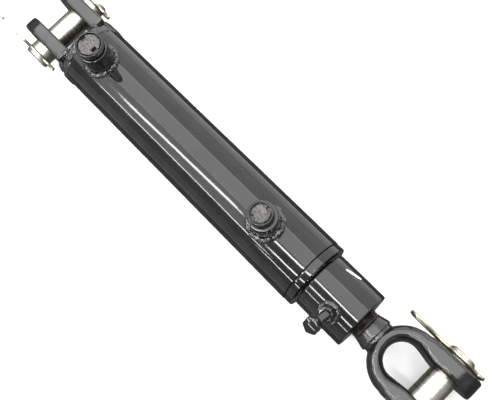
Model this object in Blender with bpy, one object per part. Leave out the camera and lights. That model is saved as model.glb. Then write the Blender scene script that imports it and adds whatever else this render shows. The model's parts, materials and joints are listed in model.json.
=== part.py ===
"""Double-acting hydraulic cylinder with a pinned clevis at each end, shown fully closed.

Metres, +Z up. The cylinder lies along X with its base clevis at -X, its clevis pins along Y and
its ports facing +Z. Lengths along the cylinder are measured from the base pin's axis. The origin
is under the middle of the whole object, on the surface that the barrel lies on.
"""
import math

import bmesh
import bpy
from mathutils import Vector

# Driving dimensions, in metres
BORE_RADIUS = 0.0254
WALL = 0.00635
BARREL_RADIUS = BORE_RADIUS + WALL
ROD_RADIUS = 0.0142875
STROKE = 0.1524
PIN_TO_PIN = 0.4572
PIN_RADIUS = 0.0120
PIN_HOLE_RADIUS = 0.0125
CLEAR = 0.0003                    # gap between solids that touch

# Stations along the cylinder, from the base pin's axis
CAP_FACE_X = 0.0345
TUBE_START_X = 0.0410
BASE_PORT_X = 0.0677
ROD_PORT_X = 0.2770
SEAM_X = 0.3260                   # end of the tube, where the gland's flange starts
FLANGE_END_X = SEAM_X + 0.0075
COUPLING_START_X = SEAM_X + 0.0095
COUPLING_END_X = SEAM_X + 0.0580
LOCK_BOLT_X = SEAM_X + 0.0363
PISTON_REAR_X = 0.0730
PISTON_LENGTH = 0.0420
PISTON_FRONT_X = PISTON_REAR_X + PISTON_LENGTH
GLAND_REAR_X = SEAM_X - 0.0400
GLAND_NOSE_X = PISTON_FRONT_X + STROKE + CLEAR    # where the piston stops at full stroke

# Barrel end and clevises
FLANGE_RADIUS = 0.0314
SPIGOT_RADIUS = 0.02505
CAP_RADIUS = 0.0315
CAP_WELD_RADIUS = 0.0326
LUG_GAP = 0.0280
LUG_THICKNESS = 0.0135
LUG_SHIFT = 0.0010                # the pair of lugs stands this far towards +Y
LUG_HALF_HEIGHT = 0.0254
LUG_REACH = 0.0285                # from the pin's axis to the free end
YOKE_EYE_RADIUS = 0.0246
YOKE_GAP = 0.0266
YOKE_INNER_RADIUS = 0.0153
YOKE_OUTER_RADIUS = 0.0303
YOKE_INNER_CENTRE_X = SEAM_X + 0.1013
YOKE_OUTER_CENTRE_X = SEAM_X + 0.1045
YOKE_HALF_WIDTH = 0.0292
YOKE_NECK_HALF_HEIGHT = 0.0150
STUD_RADIUS = 0.0135

# Gland and piston
GLAND_BORE_RADIUS = 0.01495
GLAND_NOSE_RADIUS = 0.0205        # leaves room for oil between it and the tube
ROD_RING_RADIUS = 0.01465         # inside of the rings that run on the rod
STATIC_GROOVE_RADIUS = 0.0218
PISTON_RADIUS = 0.0248
PISTON_GROOVE_RADIUS = 0.0215
BORE_RING_RADIUS = 0.0251         # outside of the rings that run in or seal against the tube
SPIGOT_THREAD_RADIUS = 0.0095     # the rod's end inside the piston and its nut
PISTON_HOLE_RADIUS = 0.0098
PISTON_NUT_FLATS = 0.0320
PISTON_NUT_LENGTH = 0.0162
ROD_O_RING_GROOVE = (PISTON_REAR_X + 0.0190, PISTON_REAR_X + 0.0225, 0.0076)    # start, end, radius

# Ports
BOSS_RADIUS = 0.0130
BOSS_TOP = 0.0540                 # above the cylinder's axis
PORT_THREAD_RADIUS = 0.0088
PORT_PASSAGE_RADIUS = 0.0050
PLUG_SHANK_RADIUS = 0.0084
PLUG_TOP = 0.0624
PLUG_SEAL_RADIUS = 0.0099
BASE_PLUG_RADIUS = 0.0122
ROD_PLUG_RADIUS = 0.0101

# Coupling and its lock bolt
COUPLING_RADIUS = 0.0270
COUPLING_THREAD_RADIUS = 0.0139
LOCK_BOLT_TILT = math.radians(34)
LOCK_BOLT_RADIUS = 0.0040
LOCK_BOLT_HOLE_RADIUS = 0.0044
LOCK_NUT_FLATS = 0.0130
LOCK_BOLT_HEAD_R = 0.0532         # underside of the head, from the cylinder's axis
LOCK_BOLT_HEAD_HEIGHT = 0.0055

# Pins and their clips
PIN_HALF_LENGTH = 0.0402
CLIP_OFFSET = 0.0354              # from the pin's middle to each cross hole
ROD_PIN_SHIFT = -0.0025           # the rod pin has slid towards -Y
CLIP_WIRE_RADIUS = 0.0016
CROSS_HOLE_RADIUS = 0.0020
CLIP_LOOP_RADIUS = 0.0065
CLIP_LOOP_CENTRE = -0.0440
CLIP_TAIL = 0.0215

# Facets of round parts
BIG_SEGMENTS = 36
SMALL_SEGMENTS = 24
HOLE_SEGMENTS = 16

# Where the cylinder lies in the object's frame
BASE_PIN_WORLD_X = -PIN_TO_PIN / 2    # a clip's loop reaches equally far beyond either pin
AXIS_HEIGHT = CAP_WELD_RADIUS

for old in list(bpy.data.objects):
    bpy.data.objects.remove(old)


def material(name, colour, roughness, metallic):
    """Principled material with one colour."""
    made = bpy.data.materials.new(name)
    made.use_nodes = True
    shader = made.node_tree.nodes["Principled BSDF"]
    shader.inputs["Base Color"].default_value = (*colour, 1.0)
    shader.inputs["Roughness"].default_value = roughness
    shader.inputs["Metallic"].default_value = metallic
    return made


BLACK_PAINT = material("black_paint", (0.012, 0.012, 0.013), 0.18, 0.0)
WELD_PAINT = material("painted_weld", (0.014, 0.014, 0.015), 0.28, 0.0)
CHROME = material("chromed_rod", (0.75, 0.76, 0.78), 0.08, 1.0)
STEEL = material("machined_steel", (0.42, 0.42, 0.43), 0.35, 1.0)
IRON = material("ductile_iron", (0.17, 0.17, 0.18), 0.5, 1.0)
ZINC = material("zinc_plate", (0.62, 0.60, 0.52), 0.3, 1.0)
RUBBER = material("seal_rubber", (0.02, 0.02, 0.02), 0.6, 0.0)
PLASTIC = material("plug_plastic", (0.03, 0.028, 0.026), 0.35, 0.0)
NYLON = material("guide_nylon", (0.5, 0.42, 0.28), 0.5, 0.0)


def axis_empty(name, parent, location=(0, 0, 0), tilt=0.0):
    """Empty on a joint's axis, which carries the pieces that move with it."""
    empty = bpy.data.objects.new(name, None)
    bpy.context.scene.collection.objects.link(empty)
    empty.parent = parent
    empty.location = location
    empty.rotation_euler = (tilt, 0, 0)
    return empty


def place(name, bm, finish, parent, location=(0, 0, 0), rotation=(0, 0, 0)):
    """Object from a bmesh, shaded smooth up to 35 degrees."""
    mesh = bpy.data.meshes.new(name)
    bm.to_mesh(mesh)
    bm.free()
    if finish:
        mesh.materials.append(finish)
    mesh.shade_smooth()
    mesh.set_sharp_from_angle(angle=math.radians(35))
    made = bpy.data.objects.new(name, mesh)
    bpy.context.scene.collection.objects.link(made)
    made.parent = parent
    made.location = location
    made.rotation_euler = rotation
    return made


def turned(profile, segments=BIG_SEGMENTS, closed=True):
    """Solid turned about X from (x, radius) points; an open profile ends on the axis."""
    bm = bmesh.new()
    verts = [bm.verts.new((x, 0.0, radius)) for x, radius in profile]
    ends = verts[1:] + verts[:1] if closed else verts[1:]
    edges = [bm.edges.new(pair) for pair in zip(verts, ends)]
    bmesh.ops.spin(bm, geom=verts + edges, cent=(0, 0, 0), axis=(1, 0, 0),
                   angle=2 * math.pi, steps=segments)
    bmesh.ops.remove_doubles(bm, verts=bm.verts, dist=1e-6)
    bmesh.ops.recalc_face_normals(bm, faces=bm.faces)
    return bm


def ring(start, end, inner, outer, segments=BIG_SEGMENTS):
    """Plain ring about X, from start to end along it."""
    return turned([(start, inner), (start, outer), (end, outer), (end, inner)], segments)


def rod_stock(start, end, radius, segments=SMALL_SEGMENTS):
    """Plain round bar about X."""
    return turned([(start, 0), (start, radius), (end, radius), (end, 0)], segments, closed=False)


def extruded(outline, direction, half_depth):
    """Prism from a closed outline, extruded both ways along a unit direction."""
    bm = bmesh.new()
    shift = Vector(direction) * half_depth
    face = bm.faces.new([bm.verts.new(Vector(point) - shift) for point in outline])
    grown = bmesh.ops.extrude_face_region(bm, geom=[face])
    top = [item for item in grown["geom"] if isinstance(item, bmesh.types.BMVert)]
    bmesh.ops.translate(bm, verts=top, vec=shift * 2)
    bmesh.ops.recalc_face_normals(bm, faces=bm.faces)
    return bm


def arc(centre, radius, start, end, steps):
    """Points of an arc, from start to end in degrees, both included."""
    angles = [math.radians(start + (end - start) * i / steps) for i in range(steps + 1)]
    return [(centre[0] + radius * math.cos(a), centre[1] + radius * math.sin(a)) for a in angles]


def saddled(points, surface_radius, segments=SMALL_SEGMENTS):
    """Turned solid about Z whose foot follows a cylinder that lies along X.

    A point is (radius, height, follows): a height above the cylinder's surface where follows is
    true, and above its axis where it is false.
    """
    bm = bmesh.new()
    rings = []
    for radius, height, follows in points:
        row = []
        for i in range(segments):
            angle = 2 * math.pi * i / segments
            x = radius * math.cos(angle)
            y = radius * math.sin(angle)
            base = math.sqrt(surface_radius ** 2 - y ** 2) if follows else 0.0
            row.append(bm.verts.new((x, y, base + height)))
        rings.append(row)
    for near, far in zip(rings, rings[1:] + rings[:1]):
        for i in range(segments):
            j = (i + 1) % segments
            bm.faces.new((near[i], near[j], far[j], far[i]))
    bmesh.ops.recalc_face_normals(bm, faces=bm.faces)
    return bm


def cut(target, bm, parent, location=(0, 0, 0), rotation=(0, 0, 0), operation="DIFFERENCE"):
    """Boolean on target with a hidden solid."""
    tool = place(f"{target.name}_tool_{len(target.modifiers)}", bm, None, parent, location, rotation)
    tool.hide_render = True
    tool.display_type = "WIRE"
    modifier = target.modifiers.new("cut", "BOOLEAN")
    modifier.operation = operation
    modifier.solver = "EXACT"
    modifier.object = tool


ABOUT_Y = (0, 0, math.pi / 2)     # turns a solid made about X so that it lies along Y
ABOUT_Z = (0, -math.pi / 2, 0)    # and so that it stands along Z

base = axis_empty("barrel", None, (BASE_PIN_WORLD_X, 0, AXIS_HEIGHT))
rings_slide = axis_empty("piston_rings", base)
rod = axis_empty("rod", rings_slide)
yoke = axis_empty("yoke", rod, (PIN_TO_PIN, 0, 0))
rod_pin_axis = axis_empty("rod_pin_axis", yoke)
base_pin_axis = axis_empty("base_pin_axis", base)
bolt_axis = axis_empty("lock_bolt_axis", rod, (LOCK_BOLT_X, 0, 0), LOCK_BOLT_TILT)
base_plug_axis = axis_empty("base_plug_axis", base, (BASE_PORT_X, 0, 0))
rod_plug_axis = axis_empty("rod_plug_axis", base, (ROD_PORT_X, 0, 0))


def make_barrel():
    """Tube with two port holes, chamfered at the base for its weld."""
    chamfer = 0.0025
    tube = place("barrel_tube", turned([
        (TUBE_START_X, BORE_RADIUS), (TUBE_START_X, BARREL_RADIUS - chamfer),
        (TUBE_START_X + chamfer, BARREL_RADIUS), (SEAM_X, BARREL_RADIUS), (SEAM_X, BORE_RADIUS),
    ]), BLACK_PAINT, base)
    for port_x in (BASE_PORT_X, ROD_PORT_X):
        drill = rod_stock(0.0150, 0.0400, PORT_PASSAGE_RADIUS, HOLE_SEGMENTS)
        cut(tube, drill, base, (port_x, 0, 0), ABOUT_Z)


def make_base_cap():
    """End plug with a spigot inside the tube, and the weld bead in the joint's groove."""
    face = TUBE_START_X - CLEAR
    edge = 0.0015
    chamfer = 0.0025
    spigot_end = face + 0.0060
    place("base_cap", turned([
        (CAP_FACE_X, 0), (CAP_FACE_X, CAP_RADIUS - edge), (CAP_FACE_X + edge, CAP_RADIUS),
        (face - chamfer, CAP_RADIUS), (face, CAP_RADIUS - chamfer), (face, SPIGOT_RADIUS),
        (spigot_end - 0.0010, SPIGOT_RADIUS), (spigot_end, SPIGOT_RADIUS - 0.0010),
        (spigot_end, 0),
    ], closed=False), BLACK_PAINT, base)
    middle = TUBE_START_X - CLEAR / 2
    place("base_cap_weld", turned([
        (middle - 0.0008, 0.0304), (middle - 0.0024, 0.0320), (middle - 0.0040, 0.0320),
        (middle - 0.0026, CAP_WELD_RADIUS), (middle + 0.0026, CAP_WELD_RADIUS),
        (middle + 0.0040, 0.0321), (middle + 0.0024, 0.0321), (middle + 0.0008, 0.0304),
    ]), WELD_PAINT, base)


def make_base_lugs():
    """Two flat lugs with round ends, each with a fillet weld on its outer side."""
    end_centre = LUG_HALF_HEIGHT - LUG_REACH
    root = CAP_FACE_X - CLEAR
    outline = [(x, 0, z) for x, z in arc((end_centre, 0), LUG_HALF_HEIGHT, 90, 270, 18)]
    outline += [(root, 0, -LUG_HALF_HEIGHT), (root, 0, LUG_HALF_HEIGHT)]
    leg = 0.0045
    stations = ((-0.016, 0.5), (-0.012, 1.0), (0.012, 1.0), (0.016, 0.5))
    for side, sign in (("left", -1), ("right", 1)):
        y = LUG_SHIFT + sign * (LUG_GAP + LUG_THICKNESS) / 2
        name = f"base_lug_{side}"
        solid = extruded(outline, (0, 1, 0), LUG_THICKNESS / 2)
        lug = place(name, solid, BLACK_PAINT, base, (0, y, 0))
        hole = rod_stock(-0.010, 0.010, PIN_HOLE_RADIUS)
        cut(lug, hole, base, (0, y, 0), ABOUT_Y)
        bm = bmesh.new()
        toe = LUG_SHIFT + sign * (LUG_GAP / 2 + LUG_THICKNESS + CLEAR)
        rows = []
        for z, size in stations:
            reach = leg * size
            corners = ((0, 0), (-reach, 0), (-0.62 * reach, 0.62 * reach), (0, reach))
            rows.append([bm.verts.new((root + x, toe + sign * out, z)) for x, out in corners])
        for near, far in zip(rows, rows[1:]):
            for i in range(4):
                bm.faces.new((near[i], near[i - 3], far[i - 3], far[i]))
        bm.faces.new(rows[0])
        bm.faces.new(rows[-1])
        bmesh.ops.recalc_face_normals(bm, faces=bm.faces)
        place(f"{name}_weld", bm, WELD_PAINT, base)


def make_port(name, port_x, plug_axis, plug_radius, slot_angle):
    """Welded port boss with its fillet, and the slotted shipping plug with its sealing ring."""
    surface = BARREL_RADIUS + CLEAR
    place(f"{name}_port_boss", saddled([
        (PORT_PASSAGE_RADIUS, 0, True), (BOSS_RADIUS, 0, True), (BOSS_RADIUS, BOSS_TOP - 0.0008, False),
        (BOSS_RADIUS - 0.0008, BOSS_TOP, False), (PORT_THREAD_RADIUS, BOSS_TOP, False),
        (PORT_THREAD_RADIUS, 0.0400, False), (PORT_PASSAGE_RADIUS, 0.0380, False),
    ], surface), BLACK_PAINT, base, (port_x, 0, 0))
    inner = BOSS_RADIUS + CLEAR
    place(f"{name}_port_weld", saddled([
        (inner, 0, True), (inner, 0.0050, True), (inner + 0.0025, 0.0030, True),
        (inner + 0.0050, 0.0006, True), (inner + 0.0050, 0, True),
    ], surface, 32), WELD_PAINT, base, (port_x, 0, 0))
    seal = ring(BOSS_TOP + CLEAR, BOSS_TOP + 0.0021, 0.00875, PLUG_SEAL_RADIUS, SMALL_SEGMENTS)
    place(f"{name}_plug_seal", seal, RUBBER, plug_axis, rotation=ABOUT_Z)
    under = BOSS_TOP + 0.0024
    rim = plug_radius - 0.0018
    plug = place(f"{name}_port_plug", turned([
        (0.0420, 0), (0.0420, PLUG_SHANK_RADIUS - 0.0008), (0.0430, PLUG_SHANK_RADIUS),
        (under, PLUG_SHANK_RADIUS), (under, plug_radius), (PLUG_TOP - 0.0006, plug_radius),
        (PLUG_TOP, plug_radius - 0.0006), (PLUG_TOP, rim), (PLUG_TOP - 0.0020, rim - 0.0004),
        (PLUG_TOP - 0.0020, rim - 0.0016), (PLUG_TOP - 0.0004, rim - 0.0020), (PLUG_TOP - 0.0004, 0),
    ], SMALL_SEGMENTS, closed=False), PLASTIC, plug_axis, rotation=ABOUT_Z)
    half_slot = 0.0014
    length = rim - 0.0002
    outline = [(length, half_slot), (-length, half_slot), (-length, -half_slot), (length, -half_slot)]
    slot = extruded([(x, y, PLUG_TOP) for x, y in outline], (0, 0, 1), 0.0018)
    cut(plug, slot, plug_axis, rotation=(0, 0, slot_angle))


def make_gland():
    """Gland head, its two static rings, and the three rings that run on the rod.

    The nose behind its spigot stops the piston at full stroke, with the rod port still open.
    """
    s = SEAM_X
    bore = GLAND_BORE_RADIUS
    static_start, static_end = s - 0.0360, s - 0.0280
    guide_start, guide_end, guide_floor = s - 0.0340, s - 0.0220, 0.0169
    seal_start, seal_end, seal_floor = s - 0.0140, s - 0.0060, 0.0202
    wiper_seat, wiper_floor = s + 0.0025, 0.0192
    place("gland_head", turned([
        (GLAND_NOSE_X, bore), (GLAND_NOSE_X, GLAND_NOSE_RADIUS), (GLAND_REAR_X, GLAND_NOSE_RADIUS),
        (GLAND_REAR_X, SPIGOT_RADIUS - 0.0010), (GLAND_REAR_X + 0.0010, SPIGOT_RADIUS),
        (static_start, SPIGOT_RADIUS), (static_start, STATIC_GROOVE_RADIUS),
        (static_end, STATIC_GROOVE_RADIUS), (static_end, SPIGOT_RADIUS),
        (s + CLEAR, SPIGOT_RADIUS), (s + CLEAR, FLANGE_RADIUS),
        (FLANGE_END_X - 0.0008, FLANGE_RADIUS), (FLANGE_END_X, FLANGE_RADIUS - 0.0008),
        (FLANGE_END_X, wiper_floor), (wiper_seat, wiper_floor), (wiper_seat, bore),
        (seal_end, bore), (seal_end, seal_floor), (seal_start, seal_floor), (seal_start, bore),
        (guide_end, bore), (guide_end, guide_floor), (guide_start, guide_floor), (guide_start, bore),
    ]), BLACK_PAINT, base)
    on_rod = ROD_RING_RADIUS
    between = static_start + 0.0030
    static_floor = STATIC_GROOVE_RADIUS + CLEAR
    backup = ring(static_start + CLEAR, between, static_floor, BORE_RING_RADIUS)
    place("gland_backup_ring", backup, NYLON, base)
    o_ring = ring(between + CLEAR, static_end - CLEAR, static_floor, BORE_RING_RADIUS)
    place("gland_o_ring", o_ring, RUBBER, base)
    seal = ring(seal_start + CLEAR, seal_end - CLEAR, on_rod, seal_floor - CLEAR)
    place("rod_seal", seal, RUBBER, base)
    guide = ring(guide_start + CLEAR, guide_end - CLEAR, on_rod, guide_floor - CLEAR)
    place("rod_guide_ring", guide, NYLON, base)
    wiper_outer = wiper_floor - CLEAR
    lip = FLANGE_END_X + 0.0009
    place("rod_wiper", turned([
        (wiper_seat + CLEAR, on_rod), (wiper_seat + CLEAR, wiper_outer), (lip - 0.0010, wiper_outer),
        (lip, 0.0160), (lip, on_rod),
    ]), RUBBER, base)


def make_piston():
    """Piston on the rod's spigot with its nut and static ring, and the rings in its grooves."""
    p = PISTON_REAR_X
    front = PISTON_FRONT_X
    hole = PISTON_HOLE_RADIUS
    outer = PISTON_RADIUS
    floor = PISTON_GROOVE_RADIUS
    chamfer = 0.0010
    grooves = ((0.0035, 0.0105), (0.0160, 0.0260), (0.0315, 0.0385))
    profile = [(p, hole), (p, outer - chamfer), (p + chamfer, outer)]
    for start, end in grooves:
        profile += [(p + start, outer), (p + start, floor), (p + end, floor), (p + end, outer)]
    profile += [(front - chamfer, outer), (front, outer - chamfer), (front, hole)]
    place("piston", turned(profile), IRON, rod)
    names = ("piston_wear_ring_rear", "piston_seal", "piston_wear_ring_front")
    for name, (start, end) in zip(names, grooves):
        solid = ring(p + start + CLEAR, p + end - CLEAR, floor + 0.0005, BORE_RING_RADIUS)
        place(name, solid, RUBBER if name == "piston_seal" else NYLON, rings_slide)
    groove_start, groove_end, groove_floor = ROD_O_RING_GROOVE
    o_ring = ring(groove_start + CLEAR, groove_end - CLEAR, groove_floor + CLEAR,
                  SPIGOT_THREAD_RADIUS, SMALL_SEGMENTS)
    place("piston_o_ring", o_ring, RUBBER, rod)
    corner = PISTON_NUT_FLATS / math.sqrt(3)
    nut = place("piston_nut", rod_stock(p - CLEAR - PISTON_NUT_LENGTH, p - CLEAR, corner, 6), STEEL, rod)
    cut(nut, rod_stock(p - CLEAR - PISTON_NUT_LENGTH - 0.004, p + 0.004, hole), rod)


def make_rod():
    """Rod from its threaded piston spigot to its end inside the coupling."""
    spigot = SPIGOT_THREAD_RADIUS
    chamfer = 0.0010
    start = PISTON_REAR_X - 0.0245
    shoulder = PISTON_FRONT_X + CLEAR
    end = COUPLING_START_X + 0.0200
    groove_start, groove_end, groove_floor = ROD_O_RING_GROOVE
    place("piston_rod", turned([
        (start, 0), (start, spigot - chamfer), (start + chamfer, spigot),
        (groove_start, spigot), (groove_start, groove_floor),
        (groove_end, groove_floor), (groove_end, spigot),
        (shoulder, spigot), (shoulder, ROD_RADIUS - chamfer), (shoulder + chamfer, ROD_RADIUS),
        (end - chamfer, ROD_RADIUS), (end, ROD_RADIUS - chamfer), (end, 0),
    ], closed=False), CHROME, rod)


def make_coupling():
    """Threaded coupling on the rod's end, with the welded nut for its lock bolt."""
    chamfer = 0.0008
    step = COUPLING_START_X + 0.0215
    coupling = place("rod_end_coupling", turned([
        (COUPLING_START_X, 0.01465), (COUPLING_START_X, COUPLING_RADIUS - chamfer),
        (COUPLING_START_X + chamfer, COUPLING_RADIUS), (COUPLING_END_X - chamfer, COUPLING_RADIUS),
        (COUPLING_END_X, COUPLING_RADIUS - chamfer), (COUPLING_END_X, COUPLING_THREAD_RADIUS + 0.001),
        (COUPLING_END_X - 0.001, COUPLING_THREAD_RADIUS), (step, COUPLING_THREAD_RADIUS),
        (step, 0.01465),
    ]), BLACK_PAINT, rod)
    drill = rod_stock(0.0080, 0.0400, LOCK_BOLT_HOLE_RADIUS, HOLE_SEGMENTS)
    cut(coupling, drill, bolt_axis, rotation=ABOUT_Z)
    surface = COUPLING_RADIUS + CLEAR
    corner = LOCK_NUT_FLATS / math.sqrt(3)
    nut = place("coupling_nut", rod_stock(surface, surface + 0.0065, corner, 6), BLACK_PAINT,
                bolt_axis, rotation=ABOUT_Z)
    drill = rod_stock(0.0200, 0.0450, LOCK_BOLT_HOLE_RADIUS, HOLE_SEGMENTS)
    cut(nut, drill, bolt_axis, rotation=ABOUT_Z)
    inner = corner + CLEAR
    place("coupling_nut_weld", saddled([
        (inner, 0, True), (inner, 0.0036, True), (inner + 0.0015, 0.0024, True),
        (inner + 0.0030, 0.0005, True), (inner + 0.0030, 0, True),
    ], surface), WELD_PAINT, bolt_axis)


def make_lock_bolt():
    """Hex bolt that clamps the yoke's stud, with the lock washer under its head."""
    tip = STUD_RADIUS + 0.0005
    head = LOCK_BOLT_HEAD_R
    bolt = place("lock_bolt", turned([
        (tip, 0), (tip, LOCK_BOLT_RADIUS - 0.0007), (tip + 0.0007, LOCK_BOLT_RADIUS),
        (head + 0.001, LOCK_BOLT_RADIUS), (head + 0.001, 0),
    ], SMALL_SEGMENTS, closed=False), BLACK_PAINT, bolt_axis, rotation=ABOUT_Z)
    corner = LOCK_NUT_FLATS / math.sqrt(3)
    hexagon = turned([
        (head, 0), (head, corner), (head + LOCK_BOLT_HEAD_HEIGHT - 0.0008, corner),
        (head + LOCK_BOLT_HEAD_HEIGHT, corner - 0.0010), (head + LOCK_BOLT_HEAD_HEIGHT, 0),
    ], 6, closed=False)
    cut(bolt, hexagon, bolt_axis, rotation=ABOUT_Z, operation="UNION")
    washer = ring(head - 0.0025, head - CLEAR, 0.0043, 0.0069, SMALL_SEGMENTS)
    place("lock_washer", washer, BLACK_PAINT, bolt_axis, rotation=ABOUT_Z)


def make_yoke():
    """Forged U clevis with round eyes, on a threaded stud that screws into the coupling."""
    origin = PIN_TO_PIN
    inner_x = YOKE_INNER_CENTRE_X - origin
    outer_x = YOKE_OUTER_CENTRE_X - origin
    half_gap = YOKE_GAP / 2
    end = YOKE_EYE_RADIUS + 0.001
    face_start = -0.0140
    outline = [(end, -YOKE_HALF_WIDTH), (end, -half_gap), (face_start, -half_gap)]
    outline += arc((inner_x, 0), YOKE_INNER_RADIUS, 270, 90, 16)
    outline += [(face_start, half_gap), (end, half_gap), (end, YOKE_HALF_WIDTH)]
    outline += arc((outer_x, 0), YOKE_OUTER_RADIUS, 90, 270, 20)
    body = extruded([(x, y, 0) for x, y in outline], (0, 0, 1), YOKE_EYE_RADIUS + 0.002)
    made = place("rod_yoke", body, BLACK_PAINT, yoke)
    neck_x = outer_x - YOKE_OUTER_RADIUS - 0.002
    side = arc((0, 0), YOKE_EYE_RADIUS, -115, 115, 24)
    side += [(neck_x, YOKE_NECK_HALF_HEIGHT), (neck_x, -YOKE_NECK_HALF_HEIGHT)]
    paddle = extruded([(x, 0, z) for x, z in side], (0, 1, 0), YOKE_OUTER_RADIUS + 0.004)
    cut(made, paddle, yoke, operation="INTERSECT")
    shoulder = SEAM_X + 0.0650 - origin
    stud_end = COUPLING_START_X + 0.0230 - origin
    shank = turned([
        (stud_end, 0), (stud_end, STUD_RADIUS - 0.001), (stud_end + 0.001, STUD_RADIUS),
        (shoulder, STUD_RADIUS), (shoulder + 0.0080, 0.0155), (shoulder + 0.0095, 0.0145),
        (shoulder + 0.0140, 0.0145), (shoulder + 0.0140, 0),
    ], closed=False)
    cut(made, shank, yoke, operation="UNION")
    cut(made, rod_stock(-0.040, 0.040, PIN_HOLE_RADIUS), yoke, rotation=ABOUT_Y)


def clip_path():
    """Centre line of an R-clip in its own plane: straight leg, loop, and the leg over the pin."""
    hump = PIN_RADIUS + CLIP_WIRE_RADIUS + 0.0005
    points = [(CLIP_TAIL, 0.0), (0.0, 0.0)]
    centre = (CLIP_LOOP_CENTRE, CLIP_LOOP_RADIUS)
    points += arc(centre, CLIP_LOOP_RADIUS, 270, 90, 8)
    points += [(-0.0350, 0.0108), (-0.0270, 0.0070), (-0.0200, 0.0052), (-0.0160, 0.0060)]
    points += arc((0, 0), hump, 145, 35, 8)
    points += [(0.0145, 0.0062), (0.0178, 0.0056), (CLIP_TAIL, 0.0085)]
    return points


def make_clip(name, parent, y, heading):
    """R-clip of round wire through the pin's cross hole; at heading 0 its loop points to -X."""
    curve = bpy.data.curves.new(name, "CURVE")
    curve.dimensions = "3D"
    curve.bevel_depth = CLIP_WIRE_RADIUS
    curve.bevel_resolution = 2
    curve.use_fill_caps = True
    points = clip_path()
    spline = curve.splines.new("POLY")
    spline.points.add(len(points) - 1)
    for point, (x, z) in zip(spline.points, points):
        point.co = (x, 0, z, 1)
    curve.materials.append(ZINC)
    clip = bpy.data.objects.new(name, curve)
    bpy.context.scene.collection.objects.link(clip)
    clip.parent = parent
    clip.location = (0, y, 0)
    clip.rotation_euler = (0, 0, heading)


def make_pin(name, parent, shift, headings):
    """Clevis pin, cross-drilled near both ends, with its two clips."""
    end = PIN_HALF_LENGTH
    chamfer = 0.0020
    pin = place(name, turned([
        (-end, 0), (-end, PIN_RADIUS - chamfer), (chamfer - end, PIN_RADIUS),
        (end - chamfer, PIN_RADIUS), (end, PIN_RADIUS - chamfer), (end, 0),
    ], SMALL_SEGMENTS, closed=False), ZINC, parent, (0, shift, 0), ABOUT_Y)
    for side, sign, heading in zip(("left", "right"), (-1, 1), headings):
        y = shift + sign * CLIP_OFFSET
        cut(pin, rod_stock(-0.020, 0.020, CROSS_HOLE_RADIUS, HOLE_SEGMENTS), parent, (0, y, 0))
        make_clip(f"{name}_clip_{side}", parent, y, heading)


make_barrel()
make_base_cap()
make_base_lugs()
make_port("base", BASE_PORT_X, base_plug_axis, BASE_PLUG_RADIUS, 0.0)
make_port("rod", ROD_PORT_X, rod_plug_axis, ROD_PLUG_RADIUS, math.radians(70))
make_gland()
make_piston()
make_rod()
make_coupling()
make_lock_bolt()
make_yoke()
make_pin("base_pin", base_pin_axis, 0.0, (0.0, 0.0))
make_pin("rod_pin", rod_pin_axis, ROD_PIN_SHIFT, (math.pi, 0.0))
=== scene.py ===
"""Looks of the hydraulic cylinder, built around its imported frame. Metres, +Z up.

Pieces are made in the cylinder's own frame, where the origin is the base pin's axis and +X runs
along the rod, and then put in place by one matrix. Their sizes come from the frame's boxes.
"""
import json
import math

import bmesh
import bpy
from mathutils import Matrix, Vector, noise


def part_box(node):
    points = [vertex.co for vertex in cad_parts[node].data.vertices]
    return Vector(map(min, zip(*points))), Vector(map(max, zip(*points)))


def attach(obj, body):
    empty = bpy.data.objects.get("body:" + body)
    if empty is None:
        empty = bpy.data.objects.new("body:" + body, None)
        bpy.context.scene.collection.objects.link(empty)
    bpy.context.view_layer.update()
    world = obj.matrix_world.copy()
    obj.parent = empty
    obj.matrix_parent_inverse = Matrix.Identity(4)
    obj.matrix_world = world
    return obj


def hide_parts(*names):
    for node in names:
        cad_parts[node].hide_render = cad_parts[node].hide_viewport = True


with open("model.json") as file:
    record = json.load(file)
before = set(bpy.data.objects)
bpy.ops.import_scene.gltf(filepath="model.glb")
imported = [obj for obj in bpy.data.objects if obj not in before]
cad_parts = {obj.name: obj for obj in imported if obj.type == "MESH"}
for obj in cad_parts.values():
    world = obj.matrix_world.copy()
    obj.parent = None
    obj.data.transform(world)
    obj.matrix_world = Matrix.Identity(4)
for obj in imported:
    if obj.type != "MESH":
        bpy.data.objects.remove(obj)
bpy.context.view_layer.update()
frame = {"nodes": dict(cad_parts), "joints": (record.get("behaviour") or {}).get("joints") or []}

TAU = 2 * math.pi


# ---------------------------------------------------------------- places, read from the frame

def middle(node):
    """Middle of a CAD node's box."""
    low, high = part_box(node)
    return (low + high) / 2


BASE = Matrix.Translation((middle("base_pin").x, 0, middle("barrel_tube").z))
ORIGIN = BASE.translation


def span(node, axis):
    """Lowest and highest coordinate of a node along an axis, in the cylinder's own frame."""
    low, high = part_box(node)
    return low[axis] - ORIGIN[axis], high[axis] - ORIGIN[axis]


TUBE_START, SEAM = span("barrel_tube", 0)
TUBE_RADIUS = span("barrel_tube", 1)[1]
BORE_RADIUS = span("piston_seal", 1)[1] + 0.0003
CAP_FACE, CAP_END = span("base_cap", 0)
CAP_RADIUS = span("base_cap", 1)[1]
CAP_WELD_RADIUS = span("base_cap_weld", 1)[1]
LUG_TIP, LUG_ROOT = span("base_lug_left", 0)
LUG_HEIGHT = span("base_lug_left", 2)[1]
GLAND_NOSE, FLANGE_END = span("gland_head", 0)
FLANGE_RADIUS = span("gland_head", 1)[1]
COUPLING_START, COUPLING_END = span("rod_end_coupling", 0)
COUPLING_RADIUS = span("rod_end_coupling", 1)[1]
ROD_START, ROD_END = span("piston_rod", 0)
ROD_RADIUS = span("piston_rod", 1)[1]
STUD_START, YOKE_TIP = span("rod_yoke", 0)
YOKE_HALF_WIDTH = span("rod_yoke", 1)[1]
YOKE_EYE_RADIUS = span("rod_yoke", 2)[1]
ROD_PIN_X = middle("rod_pin").x - ORIGIN.x
PIN_RADIUS = span("base_pin", 2)[1]
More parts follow.
